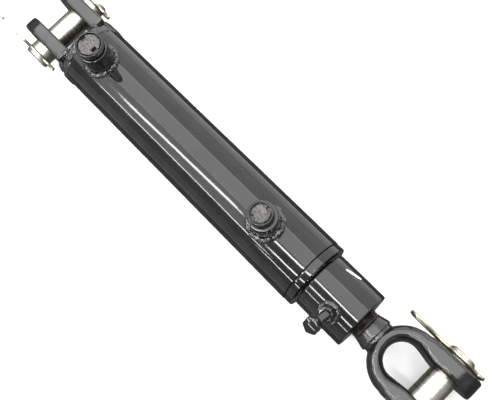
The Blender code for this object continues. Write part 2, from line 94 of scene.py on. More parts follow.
PIN_HOLE_RADIUS = PIN_RADIUS + 0.0005
BOSS_RADIUS = (span("base_port_boss", 0)[1] - span("base_port_boss", 0)[0]) / 2
BOSS_TOP = span("base_port_boss", 2)[1]

PORT_PITCH = 0.0015875              # thread in the port bosses and on their plugs
BOLT_PITCH = 0.00125
BOLT_HOLE_RADIUS = 0.0044
STUD_RADIUS, STUD_PITCH = 0.0135, 0.00212
SHOULDER = SEAM + 0.0650            # where the yoke's thread ends and its collar begins

BOLT_JOINT = next(joint for joint in frame["joints"] if joint["name"] == "lock_bolt_turn")
BOLT_X = BOLT_JOINT["pos_m"][0] - ORIGIN.x
BOLT_TILT = math.atan2(-BOLT_JOINT["axis"][1], BOLT_JOINT["axis"][2])

UPRIGHT = Matrix.Rotation(-math.pi / 2, 4, "Y")     # turns a solid made about X to stand along Z
ACROSS = Matrix.Rotation(math.pi / 2, 4, "Z")       # and to lie along Y
BOLT = BASE @ Matrix.Translation((BOLT_X, 0, 0)) @ Matrix.Rotation(BOLT_TILT, 4, "X")


def port_place(name):
    """Frame of a port: on the cylinder's axis, under the middle of its boss."""
    return BASE @ Matrix.Translation((middle(f"{name}_port_boss").x - ORIGIN.x, 0, 0))


# ---------------------------------------------------------------- materials

class Shading:
    """Small helper that adds nodes to one material, in object coordinates."""

    def __init__(self, name):
        self.material = bpy.data.materials.new(name)
        self.material.use_nodes = True
        self.tree = self.material.node_tree
        self.shader = self.tree.nodes["Principled BSDF"]
        self.coords = self.tree.nodes.new("ShaderNodeTexCoord").outputs["Object"]

    def link(self, source, socket):
        self.tree.links.new(source, socket)

    def stretched(self, scale):
        """Object coordinates scaled by three factors, for grain that runs one way."""
        node = self.tree.nodes.new("ShaderNodeMapping")
        node.inputs["Scale"].default_value = scale
        self.link(self.coords, node.inputs["Vector"])
        return node.outputs["Vector"]

    def noise(self, scale, detail=3.0, rough=0.55, coords=None):
        node = self.tree.nodes.new("ShaderNodeTexNoise")
        node.inputs["Scale"].default_value = scale
        node.inputs["Detail"].default_value = detail
        node.inputs["Roughness"].default_value = rough
        self.link(coords or self.coords, node.inputs["Vector"])
        return node.outputs["Fac"]

    def cells(self, scale):
        """Distance to the nearest of many scattered points."""
        node = self.tree.nodes.new("ShaderNodeTexVoronoi")
        node.inputs["Scale"].default_value = scale
        self.link(self.coords, node.inputs["Vector"])
        return node.outputs["Distance"]

    def ramp(self, source, low, high, start, end):
        """Value that goes from start to end as source goes from low to high."""
        node = self.tree.nodes.new("ShaderNodeMapRange")
        for name, value in (("From Min", low), ("From Max", high), ("To Min", start), ("To Max", end)):
            node.inputs[name].default_value = value
        self.link(source, node.inputs["Value"])
        return node.outputs["Result"]

    def worn_edges(self, low, high):
        """From 0 to 1 on convex edges, broken up by noise."""
        edge = self.tree.nodes.new("ShaderNodeNewGeometry").outputs["Pointiness"]
        return self.product(self.ramp(edge, low, high, 0, 1), self.ramp(self.noise(420), 0.45, 0.65, 0, 1))

    def product(self, first, second):
        node = self.tree.nodes.new("ShaderNodeMath")
        node.operation = "MULTIPLY"
        self.link(first, node.inputs[0])
        self.link(second, node.inputs[1])
        return node.outputs["Value"]

    def mix(self, fac, first, second):
        """Colour from first to second by fac; each is a colour or a socket."""
        node = self.tree.nodes.new("ShaderNodeMix")
        node.data_type = "RGBA"
        self.link(fac, node.inputs["Factor"])
        for socket, value in ((node.inputs[6], first), (node.inputs[7], second)):
            if isinstance(value, tuple):
                socket.default_value = (*value, 1)
            else:
                self.link(value, socket)
        return node.outputs[2]

    def bump(self, layers):
        """Stacks (height socket, distance in metres) layers into the shader's normal."""
        below = None
        for height, distance in layers:
            node = self.tree.nodes.new("ShaderNodeBump")
            node.inputs["Distance"].default_value = distance
            self.link(height, node.inputs["Height"])
            if below:
                self.link(below, node.inputs["Normal"])
            below = node.outputs["Normal"]
        self.link(below, self.shader.inputs["Normal"])

    def finish(self, colour, roughness, metallic=0.0, specular=0.5):
        for name, value in (("Base Color", colour), ("Roughness", roughness)):
            if isinstance(value, tuple):
                self.shader.inputs[name].default_value = (*value, 1)
            elif isinstance(value, float):
                self.shader.inputs[name].default_value = value
            else:
                self.link(value, self.shader.inputs[name])
        self.shader.inputs["Metallic"].default_value = metallic
        self.shader.inputs["Specular IOR Level"].default_value = specular
        return self.material


def gloss_paint():
    """Gloss black enamel: orange peel, faint smudges, dust nibs and thin edges."""
    s = Shading("gloss_paint")
    colour = s.mix(s.ramp(s.noise(38), 0.35, 0.7, 0, 1), (0.005, 0.005, 0.006), (0.010, 0.010, 0.011))
    colour = s.mix(s.ramp(s.cells(300), 0.035, 0.075, 1, 0), colour, (0.10, 0.10, 0.10))
    colour = s.mix(s.worn_edges(0.54, 0.62), colour, (0.07, 0.065, 0.06))
    s.bump([(s.noise(60, 2), 0.00008), (s.noise(500, 2), 0.00001)])
    return s.finish(colour, s.ramp(s.noise(30, 5), 0.3, 0.75, 0.035, 0.13))


def weld_paint():
    """The same enamel over a weld: wet in the hollows, with spatter and pinholes."""
    s = Shading("weld_paint")
    colour = s.mix(s.ramp(s.noise(260), 0.5, 0.72, 0, 1), (0.006, 0.006, 0.006), (0.045, 0.043, 0.04))
    s.bump([(s.noise(330, 3), 0.0006), (s.cells(520), 0.0003)])
    return s.finish(colour, s.ramp(s.noise(180), 0.35, 0.7, 0.06, 0.26), specular=0.8)


def forged_paint():
    """Enamel over forging scale: broad soft highlights, and brown-grey where it is thin."""
    s = Shading("forged_paint")
    thin = s.ramp(s.noise(55, 6), 0.5, 0.78, 0, 1)
    colour = s.mix(thin, (0.006, 0.006, 0.006), (0.022, 0.019, 0.018))
    colour = s.mix(s.worn_edges(0.53, 0.60), colour, (0.10, 0.09, 0.08))
    s.bump([(s.noise(120, 5, 0.6), 0.00045), (s.noise(900, 2), 0.00003)])
    return s.finish(colour, s.ramp(s.noise(70, 4), 0.3, 0.7, 0.10, 0.24), specular=0.7)


def thread_paint():
    """Screw thread with paint in its roots and bare brownish steel on its crests."""
    s = Shading("thread_paint")
    colour = s.mix(s.ramp(s.noise(240, 4), 0.42, 0.66, 0, 1), (0.008, 0.007, 0.007), (0.050, 0.036, 0.028))
    s.bump([(s.noise(800, 3), 0.00008)])
    return s.finish(colour, s.ramp(s.noise(300), 0.3, 0.7, 0.22, 0.45), metallic=0.35)


def zinc(name, colour_low, colour_high, grain):
    """Zinc plate with a faint yellow tint and marks that run round the piece."""
    s = Shading(name)
    marks = s.noise(1.0, 4, 0.6, s.stretched(grain))
    colour = s.mix(s.ramp(s.noise(60, 5), 0.35, 0.68, 0, 1), colour_low, colour_high)
    colour = s.mix(s.ramp(s.noise(210, 4), 0.60, 0.74, 0, 1), colour, (0.30, 0.29, 0.25))
    s.bump([(marks, 0.00004), (s.noise(420, 3), 0.00006)])
    return s.finish(colour, s.ramp(marks, 0.3, 0.7, 0.22, 0.40), metallic=1.0)


def plug_plastic(name, scale, light):
    """Centre of a plastic plug under an uneven coat of paint, with paler flecks where it dried matt."""
    s = Shading(name)
    flecks = s.ramp(s.noise(scale, 5, 0.65), 0.36, 0.60, 0, 1)
    colour = s.mix(flecks, (0.005, 0.005, 0.005), light)
    s.bump([(s.noise(scale * 0.8, 4), 0.0002), (s.noise(1200, 2), 0.00004)])
    return s.finish(colour, s.ramp(flecks, 0, 1, 0.16, 0.42))


def chrome():
    """Ground hard chrome with very fine marks round the rod."""
    s = Shading("hard_chrome")
    marks = s.noise(1.0, 3, 0.5, s.stretched((4200, 60, 60)))
    s.bump([(marks, 0.000006)])
    colour = s.mix(s.ramp(s.noise(40), 0.3, 0.7, 0, 1), (0.70, 0.71, 0.73), (0.78, 0.79, 0.81))
    return s.finish(colour, s.ramp(marks, 0.3, 0.7, 0.05, 0.11), metallic=1.0)


def turned_metal(name, dark, light, rough):
    """Machined metal with tool marks round the cylinder's axis and a trace of oil."""
    s = Shading(name)
    marks = s.noise(1.0, 4, 0.6, s.stretched((3000, 90, 90)))
    colour = s.mix(s.ramp(s.noise(120, 4), 0.35, 0.65, 0, 1), dark, light)
    s.bump([(marks, 0.00003)])
    return s.finish(colour, s.ramp(marks, 0.3, 0.7, rough - 0.08, rough + 0.08), metallic=1.0)


def moulded(name, dark, light, rough):
    """Moulded rubber or nylon with a faint grain and oily patches."""
    s = Shading(name)
    colour = s.mix(s.ramp(s.noise(140, 4), 0.35, 0.65, 0, 1), dark, light)
    s.bump([(s.noise(1500, 3), 0.00004)])
    return s.finish(colour, s.ramp(s.noise(90), 0.3, 0.7, rough - 0.1, rough + 0.1))


def pen_paint():
    """White paint from a pen, thin at the ends of a stroke."""
    s = Shading("pen_paint")
    colour = s.mix(s.ramp(s.noise(500, 4), 0.35, 0.6, 0, 1), (0.72, 0.72, 0.70), (0.86, 0.86, 0.84))
    s.bump([(s.noise(900, 2), 0.00005)])
    return s.finish(colour, 0.45)


GLOSS = gloss_paint()
WELD = weld_paint()
FORGED = forged_paint()
THREAD = thread_paint()
PIN_ZINC = zinc("pin_zinc", (0.46, 0.45, 0.38), (0.68, 0.67, 0.60), (90, 2600, 90))
CLIP_ZINC = zinc("clip_zinc", (0.40, 0.38, 0.26), (0.60, 0.58, 0.46), (700, 700, 700))
BASE_PLUG = plug_plastic("base_plug_paint", 620, (0.085, 0.079, 0.072))
ROD_PLUG = plug_plastic("rod_plug_paint", 560, (0.070, 0.065, 0.058))
CHROME = chrome()
STEEL = turned_metal("turned_steel", (0.30, 0.30, 0.31), (0.46, 0.46, 0.47), 0.32)
IRON = turned_metal("ductile_iron", (0.10, 0.10, 0.10), (0.20, 0.20, 0.21), 0.50)
RUBBER = moulded("seal_rubber", (0.012, 0.012, 0.012), (0.030, 0.030, 0.030), 0.55)
NYLON = moulded("guide_nylon", (0.42, 0.34, 0.20), (0.55, 0.46, 0.30), 0.48)
PEN = pen_paint()


# ---------------------------------------------------------------- mesh tools

def piece(name, bm, material, body, nodes, place=BASE):
    """Object from a bmesh, in place, riding on its body and standing for its CAD nodes."""
    bmesh.ops.recalc_face_normals(bm, faces=bm.faces)
    mesh = bpy.data.meshes.new(name)
    bm.to_mesh(mesh)
    bm.free()
    mesh.transform(place)
    mesh.materials.append(material)
    made = bpy.data.objects.new(name, mesh)
    bpy.context.scene.collection.objects.link(made)
    shade(made)
    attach(made, body)
    if nodes:
        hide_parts(*nodes)
    return made


def shade(made, angle=32):
    made.data.shade_smooth()
    made.data.set_sharp_from_angle(angle=math.radians(angle))


def tool(bm, place=BASE):
    """Hidden solid for one boolean."""
    bmesh.ops.recalc_face_normals(bm, faces=bm.faces)
    mesh = bpy.data.meshes.new("tool")
    bm.to_mesh(mesh)
    bm.free()
    mesh.transform(place)
    made = bpy.data.objects.new("tool", mesh)
    bpy.context.scene.collection.objects.link(made)
    return made


def baked(made):
    """Mesh of an object with its modifiers applied, put back on the object."""
    graph = bpy.context.evaluated_depsgraph_get()
    mesh = bpy.data.meshes.new_from_object(made.evaluated_get(graph))
    made.modifiers.clear()
    made.data = mesh


def carve(made, cutter, operation="DIFFERENCE"):
    """Applies one exact boolean to an object and removes the cutter."""
    modifier = made.modifiers.new("cut", "BOOLEAN")
    modifier.operation = operation
    modifier.solver = "EXACT"
    modifier.object = cutter
    baked(made)
    bpy.data.objects.remove(cutter)
    shade(made)


def soften(points, radius, closed=True, steps=3):
    """Outline with each corner rounded by a short curve."""
    count = len(points)
    result = []
    for i, (x, y) in enumerate(points):
        if not closed and i in (0, count - 1):
            result.append((x, y))
            continue
        corner = Vector((x, y))
        before = Vector(points[i - 1]) - corner
        after = Vector(points[(i + 1) % count]) - corner
        reach = min(radius, 0.45 * before.length, 0.45 * after.length)
        start = corner + before.normalized() * reach
        end = corner + after.normalized() * reach
        for step in range(steps + 1):
            t = step / steps
            result.append(tuple(start * (1 - t) ** 2 + corner * (2 * t * (1 - t)) + end * t ** 2))
    return result


def refined(points, longest):
    """Outline with its long edges cut into shorter ones."""
    result = [points[0]]
    for end in points[1:]:
        start = Vector(result[-1])
        cuts = max(1, math.ceil((Vector(end) - start).length / longest))
        result += [tuple(start.lerp(Vector(end), i / cuts)) for i in range(1, cuts + 1)]
    return result


def lathe(profile, segments=96, closed=True, shift=None):
    """Solid turned about X from (x, radius) points; shift(x, angle, radius) moves a point out."""
    bm = bmesh.new()
    rows = []
    for x, radius in profile:
        if radius < 1e-7:
            rows.append([bm.verts.new((x, 0, 0))])
            continue
        row = []
        for i in range(segments):
            angle = TAU * i / segments
            out = radius + (shift(x, angle, radius) if shift else 0.0)
            row.append(bm.verts.new((x, out * math.sin(angle), out * math.cos(angle))))
        rows.append(row)
    pairs = list(zip(rows, rows[1:]))
    if closed:
        pairs.append((rows[-1], rows[0]))
    for near, far in pairs:
        for i in range(segments):
            j = (i + 1) % segments
            corners = [near[i % len(near)], near[j % len(near)], far[j % len(far)], far[i % len(far)]]
            unique = list(dict.fromkeys(corners))
            if len(unique) > 2:
                bm.faces.new(unique)
    return bm


def bar(start, end, radius, segments=64):
    return lathe([(start, 0), (start, radius), (end, radius), (end, 0)], segments, closed=False)


def thread(start, end, radius, pitch, depth, segments=72, lead_in=0.0015):
    """Round bar about X with a screw thread along it, fading out at both ends."""
    def groove(x, angle, _):
        phase = (x / pitch - angle / TAU) % 1.0
        fade = min(1.0, (x - start) / lead_in, (end - x) / lead_in)
        return -depth * abs(2 * phase - 1) * max(0.0, fade)
    rows = max(4, round((end - start) / (pitch / 8)))
    profile = [(start + (end - start) * i / rows, radius) for i in range(rows + 1)]
    return lathe([(start, 0), *profile, (end, 0)], segments, closed=False, shift=groove)


def skin(bm, pairs):
    """Faces between pairs of neighbouring rows of vertices."""
    for near, far in pairs:
        for i in range(len(near)):
            j = (i + 1) % len(near)
            bm.faces.new((near[i], near[j], far[j], far[i]))


def close_ends(bm, rows):
    bm.faces.new(rows[0])
    bm.faces.new(rows[-1])


def saddle(points, surface, segments=96, wobble=None):
    """Turned solid about Z whose foot follows a cylinder along X; points are (radius, height, follows)."""
    bm = bmesh.new()
    rows = []
    for k, (radius, height, follows) in enumerate(points):
        row = []
        for i in range(segments):
            angle = TAU * i / segments
            out = radius + (wobble(k, angle) if wobble else 0.0)
            y = out * math.sin(angle)
            base = math.sqrt(max(surface ** 2 - y ** 2, 0.0)) if follows else 0.0
            row.append(bm.verts.new((out * math.cos(angle), y, base + height)))
        rows.append(row)
    skin(bm, zip(rows, rows[1:] + rows[:1]))
    return bm


def sweep(path, radius_at, sides=14, closed=False):
    """Tube along a path of points, with a radius for each."""
    bm = bmesh.new()
    count = len(path)
    rows = []
    normal = None
    for i, point in enumerate(path):
        before = path[i - 1] if closed or i else path[0]
        after = path[(i + 1) % count] if closed or i < count - 1 else path[-1]
        tangent = (after - before).normalized()
        if normal is None:
            normal = tangent.orthogonal().normalized()
        normal = (normal - tangent * normal.dot(tangent)).normalized()
        side = tangent.cross(normal)
        radius = radius_at(i)
        row = []
        for k in range(sides):
            angle = TAU * k / sides
            row.append(bm.verts.new(point + (normal * math.cos(angle) + side * math.sin(angle)) * radius))
        rows.append(row)
    pairs = list(zip(rows, rows[1:]))
    if closed:
        pairs.append((rows[-1], rows[0]))
    skin(bm, pairs)
    if not closed:
        close_ends(bm, rows)
    return bm


def roughen(bm, amount, scale, seed):
    """Moves each vertex along its normal by smooth noise."""
    bm.normal_update()
    offset = Vector((seed * 7.3, seed * 3.1, seed * 5.7))
    for vert in bm.verts:
        vert.co += vert.normal * amount * noise.fractal(vert.co * scale + offset, 1.0, 2.0, 3)


def keep_inside(bm, radius):
    """Draws vertices in to a radius of the cylinder's axis."""
    for vert in bm.verts:
        reach = math.hypot(vert.co.y, vert.co.z)
        if reach > radius:
            vert.co.y *= radius / reach
            vert.co.z *= radius / reach


def bead(path, radius, pitch, seed, closed=False, sides=16):
    """Weld bead along a path: overlapping ripples, uneven width and a rough skin."""
    steps = [0.0]
    for before, after in zip(path, path[1:]):
        steps.append(steps[-1] + (after - before).length)

    def width(i):
        ripple = abs(math.sin(math.pi * steps[i] / pitch))
        drift = noise.noise(Vector((steps[i] * 90, seed, 0)))
        ends = 1.0 if closed else min(1.0, 0.35 + 0.65 * min(i, len(path) - 1 - i) / 4)
        return radius * ends * (0.86 + 0.14 * ripple + 0.16 * drift)

    bm = sweep(path, width, sides, closed)
    roughen(bm, radius * 0.22, 420, seed)
    return bm


# ---------------------------------------------------------------- barrel and base clevis

PORT_XS = {name: middle(f"{name}_port_boss").x - ORIGIN.x for name in ("base", "rod")}


def shrinkage(x, angle, radius):
    """Shallow hollows that the welds have drawn in the tube's outer surface."""
    if radius < TUBE_RADIUS - 0.001:
        return 0.0
    depth = 0.00004 * (1 + noise.noise(Vector((x * 14, math.sin(angle), math.cos(angle)))))
    side = (angle + math.pi) % TAU - math.pi
    for port_x in PORT_XS.values():
        away = math.hypot(x - port_x, side * radius)
        depth += 0.00030 * math.exp(-(away / 0.021) ** 2)
    depth += 0.00015 * math.exp(-((x - TUBE_START) / 0.010) ** 2)
    return -depth


def make_barrel():
    chamfer = 0.0025
    profile = soften([
        (TUBE_START, BORE_RADIUS), (TUBE_START, TUBE_RADIUS - chamfer), (TUBE_START + chamfer, TUBE_RADIUS),
        (SEAM - 0.0003, TUBE_RADIUS), (SEAM - 0.0003, BORE_RADIUS),
    ], 0.0004)
    bm = lathe(refined(profile, 0.0030), 160, shift=shrinkage)
    tube = piece("tube", bm, GLOSS, "barrel", ["barrel_tube"])
    for name in PORT_XS:
        carve(tube, tool(bar(0.020, 0.036, 0.005, 48), port_place(name) @ UPRIGHT))


def make_base_cap():
    face = TUBE_START - 0.0003
    spigot = BORE_RADIUS - 0.0004
    edge = 0.0015
    profile = soften([
        (CAP_FACE, 0), (CAP_FACE, CAP_RADIUS - edge), (CAP_FACE + edge, CAP_RADIUS),
        (face - 0.0025, CAP_RADIUS), (face, CAP_RADIUS - 0.0025), (face, spigot),
        (CAP_END, spigot), (CAP_END, 0),
    ], 0.0006, closed=False)
    bm = lathe(refined(profile, 0.003), 128, closed=False)
    piece("cap", bm, GLOSS, "barrel", ["base_cap"])
    turns = 300
    radius = CAP_WELD_RADIUS - 0.0036
    path = []
    for i in range(turns):
        angle = TAU * i / turns
        drift = 0.0009 * noise.noise(Vector((math.cos(angle) * 3, math.sin(angle) * 3, 4.0)))
        path.append(Vector((TUBE_START - 0.0004 + drift, radius * math.sin(angle), radius * math.cos(angle))))
    bm = bead(path, 0.0048, 0.0056, 2.0, closed=True, sides=24)
    keep_inside(bm, CAP_WELD_RADIUS - 0.0001)
    piece("cap_bead", bm, WELD, "barrel", ["base_cap_weld"])


def lug_outline(angle):
    """Distance from the pin's axis to the lug's edge, in a direction in the lug's plane."""
    centre = LUG_TIP + LUG_HEIGHT
    cosine, sine = math.cos(angle), math.sin(angle)
    reaches = []
    if cosine > 1e-9:
        reaches.append(LUG_ROOT / cosine)
    if abs(sine) > 1e-9:
        reaches.append(LUG_HEIGHT / abs(sine))
    reach = min(reaches) if reaches else LUG_HEIGHT
    if reach * cosine < centre:
        along = centre * cosine
        reach = along + math.sqrt(max(along ** 2 - centre ** 2 + LUG_HEIGHT ** 2, 0.0))
    return reach


def lug_mesh(inner, outer):
    """Flat lug with a round hole; every edge is rounded."""
    corner = math.atan2(LUG_HEIGHT, LUG_ROOT)
    angles = sorted({TAU * i / 120 for i in range(120)} | {corner, TAU - corner})
    edge, hole_edge, steps = 0.0030, 0.0006, 6
    bm = bmesh.new()
    rings = []

    def ring(y, radius_at):
        reaches = [(a, radius_at(a)) for a in angles]
        rings.append([bm.verts.new((reach * math.cos(a), y, reach * math.sin(a))) for a, reach in reaches])

    def hole_reach(turn):
        return PIN_HOLE_RADIUS + hole_edge * (1 - math.cos(turn))

    quarter = [math.pi / 2 * i / steps for i in range(steps + 1)]
    for turn in quarter:
        ring(inner + edge * (1 - math.sin(turn)), lambda a, t=turn: lug_outline(a) - edge * (1 - math.cos(t)))
    rings.reverse()
    for turn in quarter:
        ring(outer - edge * (1 - math.sin(turn)), lambda a, t=turn: lug_outline(a) - edge * (1 - math.cos(t)))
    for turn in reversed(quarter):
        ring(outer - hole_edge * (1 - math.sin(turn)), lambda a, t=turn: hole_reach(t))
    for turn in quarter:
        ring(inner + hole_edge * (1 - math.sin(turn)), lambda a, t=turn: hole_reach(t))
    skin(bm, zip(rings, rings[1:] + rings[:1]))
    return bm


def make_lugs():
    for side, sign in (("left", -1), ("right", 1)):
        ends = span(f"base_lug_{side}", 1)
        inner, outer = ends if sign > 0 else ends[::-1]
        lug = piece(f"lug_{side}", lug_mesh(*ends), FORGED, "barrel", [f"base_lug_{side}"])
        shade(lug, 50)
        out = outer + sign * 0.0004
        half = LUG_HEIGHT - 0.006
        path = [Vector((LUG_ROOT - 0.0002, out, -half + 2 * half * i / 60)) for i in range(61)]
        bm = bead(path, 0.0038, 0.0050, 5.0 + sign)
        for top in (-1, 1):
            start = Vector((LUG_ROOT - 0.0004, inner + sign * 0.001, top * (LUG_HEIGHT - 0.0004)))
            end = Vector((LUG_ROOT - 0.0004, outer - sign * 0.001, top * (LUG_HEIGHT - 0.0012)))
            extra = bead([start.lerp(end, i / 30) for i in range(31)], 0.0024, 0.0046, 8.0 + sign + top)
            mesh = bpy.data.meshes.new("extra")
            extra.to_mesh(mesh)
            extra.free()
            bm.from_mesh(mesh)
            bpy.data.meshes.remove(mesh)
        keep_inside(bm, CAP_WELD_RADIUS - 0.0003)
        piece(f"lug_bead_{side}", bm, WELD, "barrel", [f"base_lug_{side}_weld"])


# ---------------------------------------------------------------- ports

def boss_mesh():
    """Port boss with an internal thread; its foot follows the tube."""
    depth, crest = 0.0007, 0.0086
    rows = [(0.005, -0.0002, True), (BOSS_RADIUS, -0.0002, True), (BOSS_RADIUS, 0.0012, True)]
    rows += [(BOSS_RADIUS, BOSS_TOP - 0.0022, False), (BOSS_RADIUS, BOSS_TOP - 0.0010, False),
             (BOSS_RADIUS - 0.0003, BOSS_TOP - 0.0003, False),
             (BOSS_RADIUS - 0.0010, BOSS_TOP, False), (crest + 0.0012, BOSS_TOP, False)]
    outer_rows = len(rows)
    count = 84
    rows += [(crest, BOSS_TOP - 0.0008 - (0.0124 * i / count), False) for i in range(count + 1)]
    inner_rows = len(rows)
    rows += [(0.005, BOSS_TOP - 0.0150, False)]

    def wobble(k, angle):
        if not outer_rows <= k < inner_rows:
            return 0.0
        phase = (rows[k][1] / PORT_PITCH - angle / TAU) % 1.0
        return depth * abs(2 * phase - 1)
    return saddle(rows, TUBE_RADIUS, 96, wobble)


def port_bead(seed):
    """Weld around a boss: a closed path where the boss meets the tube."""
    radius = BOSS_RADIUS + 0.0010
    path = []
    for i in range(220):
        angle = TAU * i / 220
        drift = 0.0006 * noise.noise(Vector((math.cos(angle) * 2, math.sin(angle) * 2, seed)))
        out = radius + drift
        y = out * math.sin(angle)
        height = math.sqrt(TUBE_RADIUS ** 2 - y ** 2) + 0.0004
        path.append(Vector((out * math.cos(angle), y, height)))
    return bead(path, 0.0028, 0.0049, seed, closed=True, sides=18)


PLUG_RING = 0.0026                # from a plug's rim to its centre disc


def plug_head(rim, top, seat, shank_end, dish, seed):
    """Shipping plug: threaded shank, rim, ring groove, and a centre disc that may be dished."""
    disc = rim - PLUG_RING
    profile = [
        (seat, 0.0082), (seat, rim - 0.0004), (seat + 0.0007, rim), (seat + 0.0020, rim - 0.0003),
        (seat + 0.0026, rim - 0.0012), (seat + 0.0034, rim - 0.0012), (seat + 0.0040, rim - 0.0003),
        (top - 0.0007, rim), (top - 0.0001, rim - 0.0005), (top, rim - 0.0011),
        (top - 0.0004, rim - 0.0017), (top - 0.0024, rim - 0.0018), (top - 0.0024, disc + 0.0002),
        (top - 0.0008, disc), (top - 0.0002, disc - 0.0008),
    ]
    rings = 14
    for i in range(1, rings + 1):
        t = i / rings
        profile.append((top - 0.0002 - dish * math.sin(t * math.pi / 2), (disc - 0.0008) * (1 - t)))
    head = soften(profile[:-1], 0.00025, closed=False, steps=2) + [profile[-1]]
    depth = 0.0006
    rows = 70
    shank = [(shank_end, 0), (shank_end, 0.0072)]
    shank += [(shank_end + 0.0006 + (seat - shank_end - 0.0010) * i / rows, 0.0083) for i in range(rows + 1)]

    def uneven(x, angle, radius):
        if x < seat - 0.0002 and radius > 0.0075:
            return -depth * abs(2 * ((x / PORT_PITCH - angle / TAU) % 1.0) - 1)
        if x > top - 0.0015 and radius < disc:
            spot = Vector((x * 300, radius * math.sin(angle) * 520, radius * math.cos(angle) * 520 + seed))
            return 0.00012 * noise.noise(spot)
        return 0.0
    return lathe(shank + head, 96, closed=False, shift=uneven)


def make_port(name, slots, dish, paint, seed):
    place = port_place(name)
    body = "base_plug" if name == "base" else "rod_plug"
    piece(f"{name}_boss", boss_mesh(), GLOSS, "barrel", [f"{name}_port_boss"], place)
    piece(f"{name}_bead", port_bead(seed), WELD, "barrel", [f"{name}_port_weld"], place)
    low, high = span(f"{name}_port_plug", 2)
    rim = (span(f"{name}_port_plug", 0)[1] - span(f"{name}_port_plug", 0)[0]) / 2
    seal_low, seal_high = span(f"{name}_plug_seal", 2)
    plug = piece(f"{name}_plug", plug_head(rim, high, seal_high + 0.0003, low, dish, seed), GLOSS, body,
                 [f"{name}_port_plug"], place @ UPRIGHT)
    plug.data.materials.append(paint)
    disc = rim - PLUG_RING
    for face in plug.data.polygons:
        away = (face.center - place.translation).to_2d().length
        if away < disc and face.normal.z > 0.6 and face.center.z - ORIGIN.z > high - 0.0022:
            face.material_index = 1
    for angle, reach in slots:
        notch = bmesh.new()
        bmesh.ops.create_cube(notch, size=1.0)
        bmesh.ops.scale(notch, vec=(reach, 0.0050, 0.0060), verts=notch.verts)
        bmesh.ops.translate(notch, vec=(disc + 0.0006 - reach / 2, 0, high), verts=notch.verts)
        carve(plug, tool(notch, place @ Matrix.Rotation(angle, 4, "Z")))
    half = (seal_high - seal_low) / 2
    outer = (span(f"{name}_plug_seal", 0)[1] - span(f"{name}_plug_seal", 0)[0]) / 2
    centre = (0.00875 + outer) / 2
    thick = (outer - 0.00875) / 2
    round_ring = [(seal_low + half + half * math.sin(TAU * i / 16), centre + thick * math.cos(TAU * i / 16))
                  for i in range(16)]
    piece(f"{name}_seal", lathe(round_ring, 72), RUBBER, f"{name}_plug_seal",
          [f"{name}_plug_seal"], place @ UPRIGHT)


# ---------------------------------------------------------------- gland, rod and coupling

def make_gland():
    bore = ROD_RADIUS + 0.00066
    spigot = BORE_RADIUS - 0.0004
    s = SEAM
    profile = soften([
        (GLAND_NOSE, bore), (GLAND_NOSE, 0.0205), (s - 0.0400, 0.0205), (s - 0.0400, spigot),
        (s - 0.0360, spigot), (s - 0.0360, 0.0218), (s - 0.0280, 0.0218), (s - 0.0280, spigot),
        (s + 0.0003, spigot), (s + 0.0003, FLANGE_RADIUS), (FLANGE_END, FLANGE_RADIUS),
        (FLANGE_END, 0.0192), (s + 0.0025, 0.0192), (s + 0.0025, bore), (s - 0.0060, bore),
        (s - 0.0060, 0.0202), (s - 0.0140, 0.0202), (s - 0.0140, bore), (s - 0.0220, bore),
        (s - 0.0220, 0.0169), (s - 0.0340, 0.0169), (s - 0.0340, bore),
    ], 0.0007)
    piece("gland", lathe(profile, 144), GLOSS, "barrel", ["gland_head"])
    lip = soften([
        (s + 0.0028, ROD_RADIUS + 0.00036), (s + 0.0028, 0.0189), (s + 0.0072, 0.0189),
        (s + 0.0084, 0.0158), (s + 0.0084, ROD_RADIUS + 0.00036), (s + 0.0062, 0.0160),
    ], 0.0003)
    piece("wiper", lathe(lip, 120), RUBBER, "barrel", ["rod_wiper"])


def make_rod():
    step = span("piston", 0)[1] + 0.0003
    spigot = 0.0095
    groove = (span("piston_o_ring", 0)[0] - 0.0003, span("piston_o_ring", 0)[1] + 0.0003, 0.0076)
    profile = soften([
        (ROD_START, 0), (ROD_START, spigot - 0.001), (ROD_START + 0.001, spigot), (groove[0], spigot),
        (groove[0], groove[2]), (groove[1], groove[2]), (groove[1], spigot), (step, spigot),
        (step, ROD_RADIUS - 0.001), (step + 0.001, ROD_RADIUS), (ROD_END - 0.001, ROD_RADIUS),
        (ROD_END, ROD_RADIUS - 0.001), (ROD_END, 0),
    ], 0.0003, closed=False)
    piece("rod", lathe(profile, 128, closed=False), CHROME, "rod", ["piston_rod"])


def make_coupling():
    bore = 0.0139
    seat = COUPLING_START + 0.0215
    profile = soften([
        (COUPLING_START, ROD_RADIUS + 0.00036), (COUPLING_START, COUPLING_RADIUS - 0.0008),
        (COUPLING_START + 0.0008, COUPLING_RADIUS), (COUPLING_END - 0.0008, COUPLING_RADIUS),
        (COUPLING_END, COUPLING_RADIUS - 0.0008), (COUPLING_END, bore + 0.001),
        (COUPLING_END - 0.001, bore), (seat, bore), (seat, ROD_RADIUS + 0.00036),
    ], 0.0005)

    def waves(x, angle, radius):
        if radius < COUPLING_RADIUS - 0.0004:
            return 0.0
        return -0.00006 * (1 + noise.noise(Vector((x * 30, 2 * math.sin(angle), 2 * math.cos(angle)))))
    bm = lathe(refined(profile, 0.0030), 144, shift=waves)
    made = piece("coupling", bm, GLOSS, "rod", ["rod_end_coupling"])
    carve(made, tool(bar(0.008, 0.030, BOLT_HOLE_RADIUS, 40), BOLT @ UPRIGHT))


